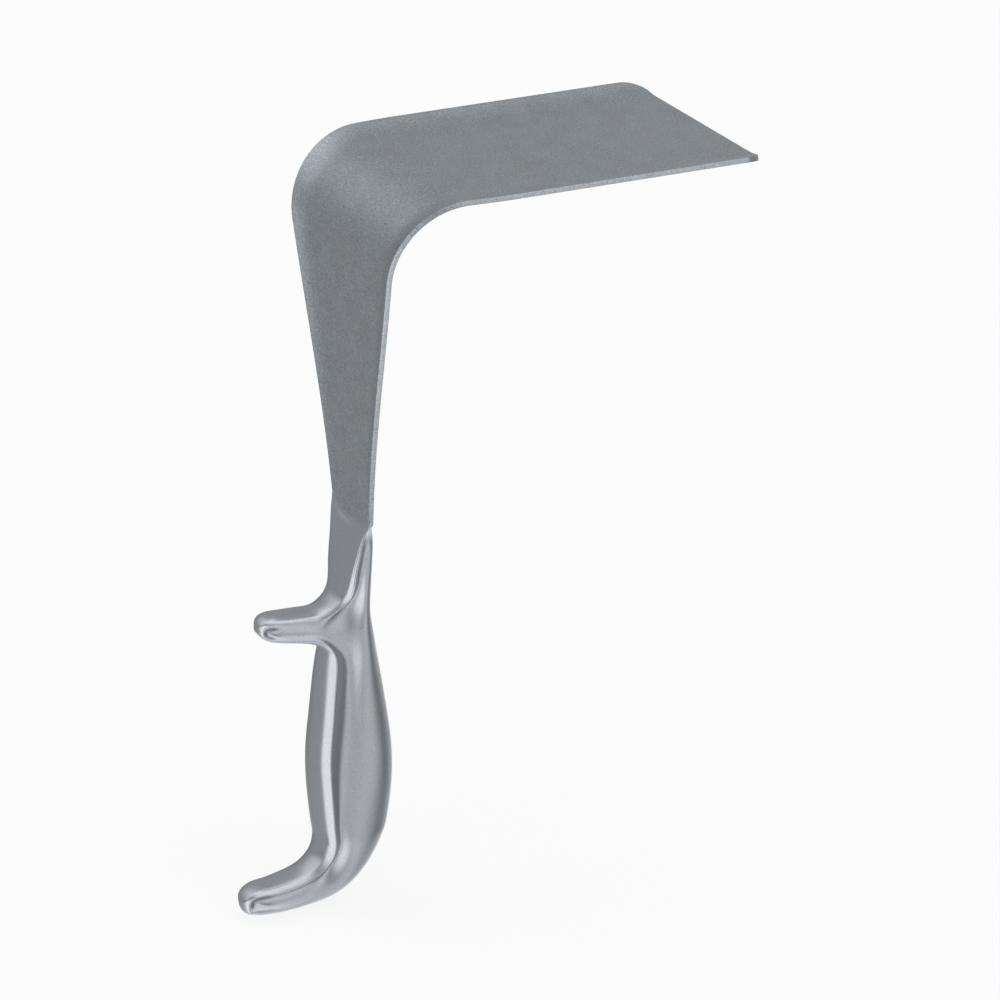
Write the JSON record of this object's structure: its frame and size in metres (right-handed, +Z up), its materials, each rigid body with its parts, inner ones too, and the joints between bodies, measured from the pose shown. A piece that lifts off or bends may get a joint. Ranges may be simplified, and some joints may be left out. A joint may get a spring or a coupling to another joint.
{
  "type": "abdominal retractor",
  "caption": "Hand-held right-angle retractor: broad thin blade and tapering shank formed from one sheet, set in a hollow handle with a finger hook and a curled pommel.",
  "frame": {"origin": "inside the grip, on the plane of the shank and the handle's middle plane, 85 mm below the neck's mouth", "axes": "+Z up along the handle and the shank, +X the way the blade points, +Y across the blade's width"},
  "size_m": [0.1693, 0.0912, 0.2513],
  "materials": {
    "satin_steel": "bead-blasted stainless steel",
    "ground_steel": "ground and satin-polished stainless steel",
    "braze_filler": "silver brazing filler"
  },
  "bodies": {
    "root": {"blade": "satin_steel", "handle_shell_left": "ground_steel", "handle_shell_right": "ground_steel", "tang_braze": "braze_filler"}
  },
  "joints": []
}
